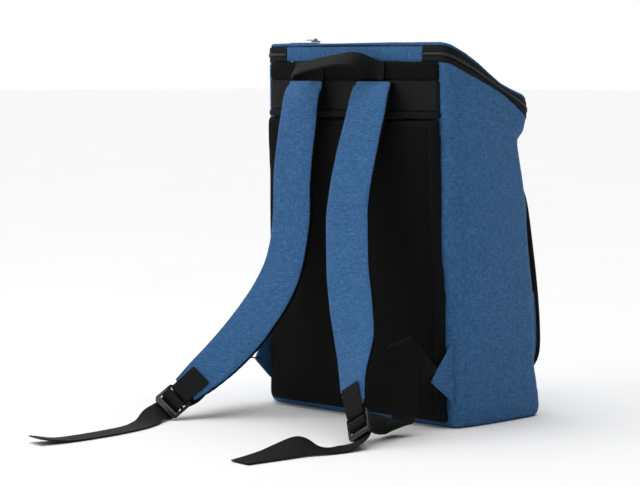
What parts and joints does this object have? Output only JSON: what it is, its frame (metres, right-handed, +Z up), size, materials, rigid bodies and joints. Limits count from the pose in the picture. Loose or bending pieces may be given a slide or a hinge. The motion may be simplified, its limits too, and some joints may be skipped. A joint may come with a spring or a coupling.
{
  "type": "cooler backpack",
  "caption": "Box-shaped soft cooler backpack with a sloping zipped lid, padded back, two curved shoulder straps with ladder locks, carry handle and front pocket.",
  "frame": {"origin": "middle of the base panel's underside, where the bag stands", "axes": "+Z up, +Y out of the padded back towards the wearer, -Y out of the front pocket, +X to the left as one looks at the padded back, the side of the strap named left"},
  "size_m": [0.3387, 0.5829, 0.4483],
  "materials": {
    "blue_weave": "matt melange weave",
    "black_weave": "matt",
    "black_mesh": "matt spacer mesh",
    "black_webbing": "ribbed, slight sheen",
    "zip_plastic": "satin",
    "buckle_plastic": "gloss",
    "zip_metal": "dark nickel"
  },
  "bodies": {
    "bag": {"body_shell": "blue_weave", "base_panel": "black_weave", "back_pad": "black_mesh", "back_ridge": "black_webbing", "back_yoke": "black_weave", "top_band": "black_mesh", "zip_tape_lower": "black_weave", "zip_coil": "zip_plastic", "zip_tape_upper": "black_weave", "hinge_strip": "blue_weave", "lid_panel": "blue_weave", "carry_handle": "black_webbing", "shoulder_strap_left": "blue_weave", "shoulder_strap_right": "blue_weave", "strap_mesh_left": "black_mesh", "strap_mesh_right": "black_mesh", "buckle_tab_left": "black_webbing", "buckle_tab_right": "black_webbing", "ladder_lock_left": "buckle_plastic", "ladder_lock_right": "buckle_plastic", "strap_webbing_left": "black_webbing", "strap_webbing_right": "black_webbing", "strap_wing_left": "blue_weave", "strap_wing_right": "blue_weave", "pocket_zip_band": "black_weave", "pocket_gusset": "blue_weave", "pocket_face": "blue_weave", "pocket_piping": "black_webbing", "zip_end_tape": "black_weave", "zip_slider": "zip_metal"},
    "pull": {"zip_pull": "zip_metal"}
  },
  "joints": [
    {"name": "pull_turn", "type": "hinge", "parent": "bag", "child": "pull", "pos_m": [0.068, 0.083, 0.44659], "axis": [0, -1, 0], "range_deg": [0, 150]}
  ]
}
